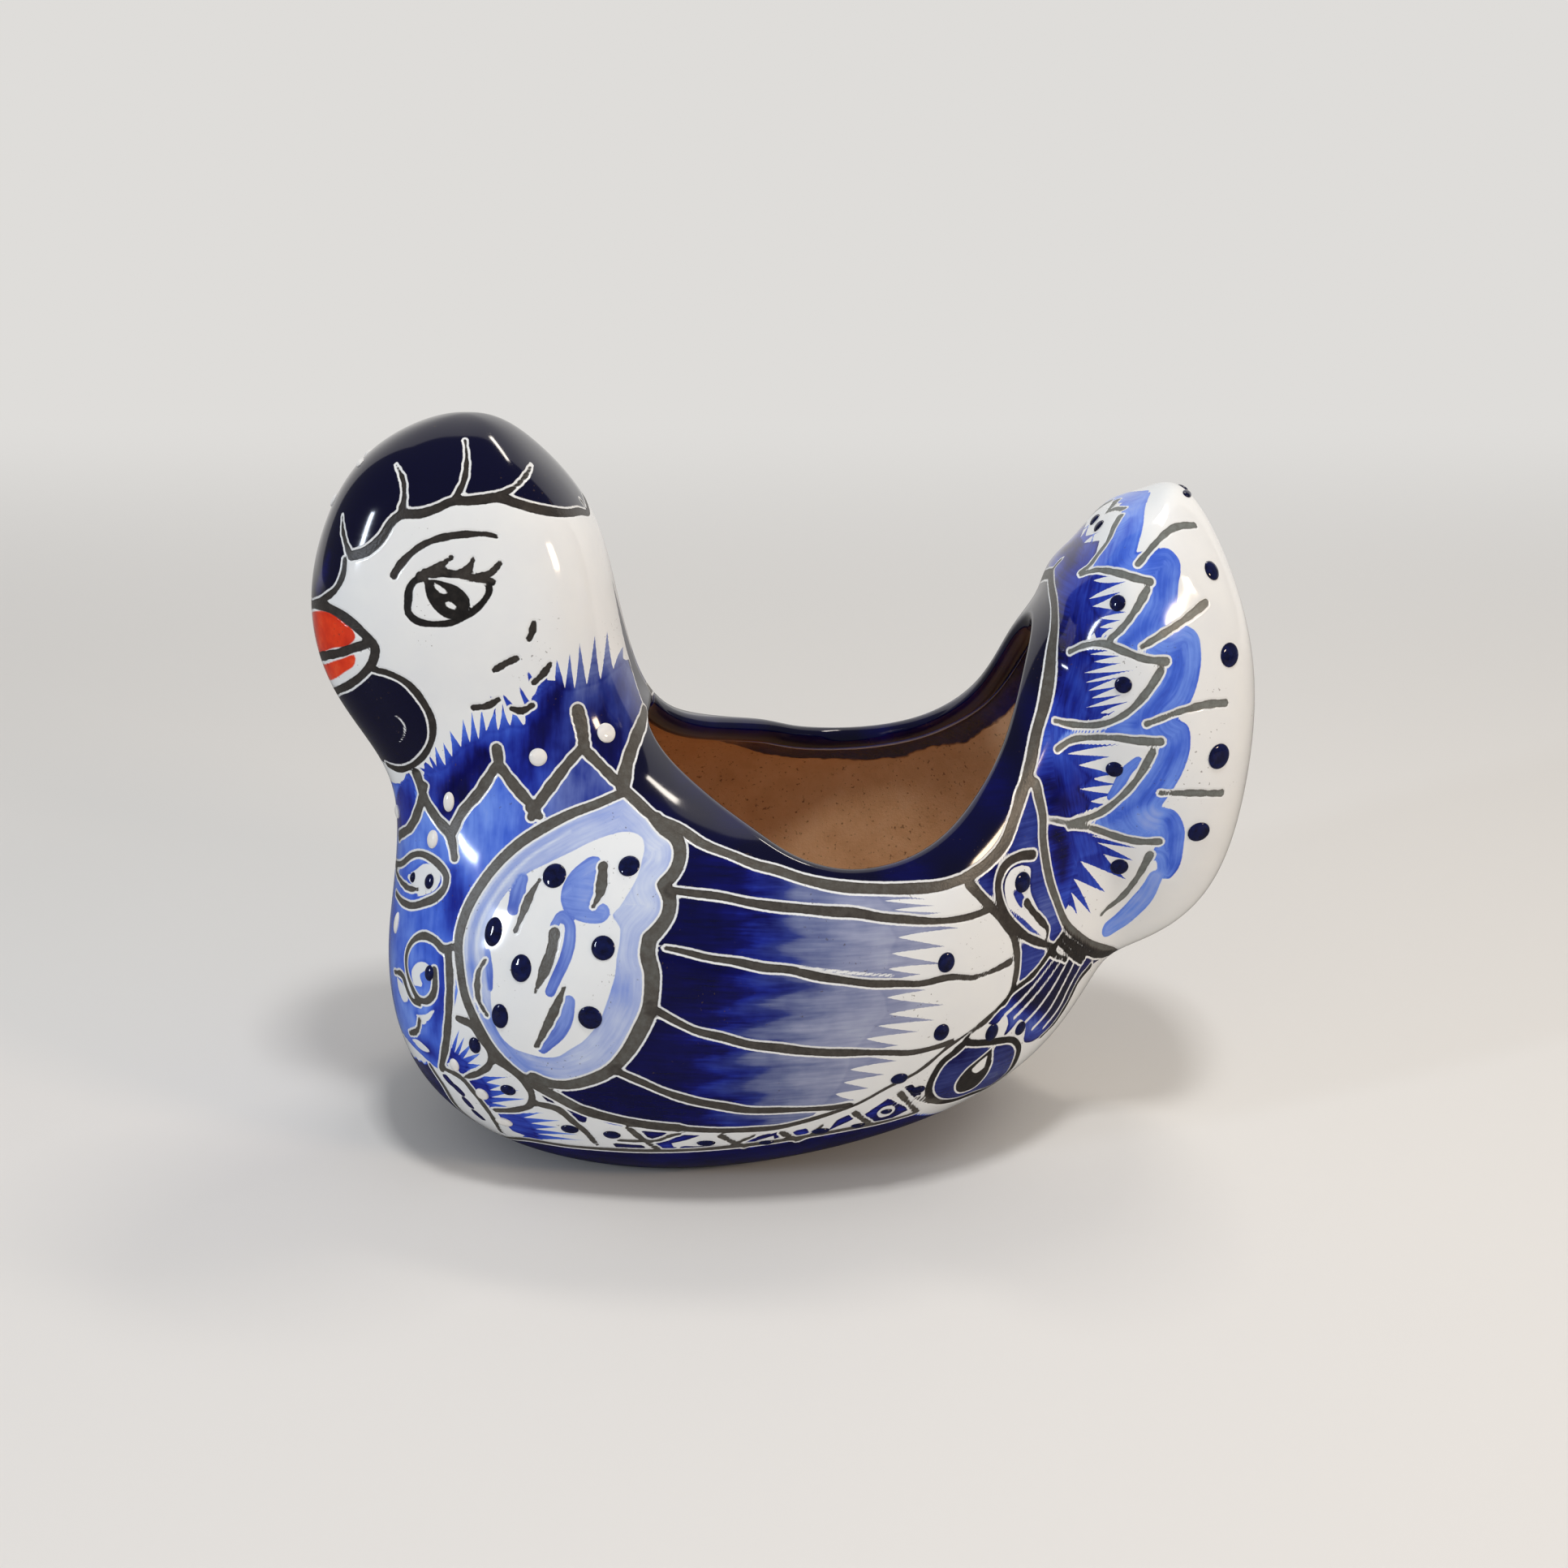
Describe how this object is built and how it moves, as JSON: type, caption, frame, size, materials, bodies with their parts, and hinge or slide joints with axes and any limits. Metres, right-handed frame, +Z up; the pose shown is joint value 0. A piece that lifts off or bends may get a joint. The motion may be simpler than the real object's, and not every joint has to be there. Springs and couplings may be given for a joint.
{
  "type": "hen planter",
  "caption": "Hollow glazed earthenware planter shaped like a sitting hen, with a wide open back between head and raised tail, and a flat foot.",
  "frame": {"origin": "on the ground, under the middle of the hen's bounding box", "axes": "+Z up, -X the way the hen looks, -Y the hen's left side"},
  "size_m": [0.2118, 0.1214, 0.167],
  "materials": {
    "head_glaze": "glossy",
    "bowl_glaze": "glossy",
    "tail_glaze": "glossy"
  },
  "bodies": {
    "root": {"head_left": "head_glaze", "head_right": "head_glaze", "bowl_left": "bowl_glaze", "bowl_right": "bowl_glaze", "tail_left": "tail_glaze", "tail_right": "tail_glaze"}
  },
  "joints": []
}
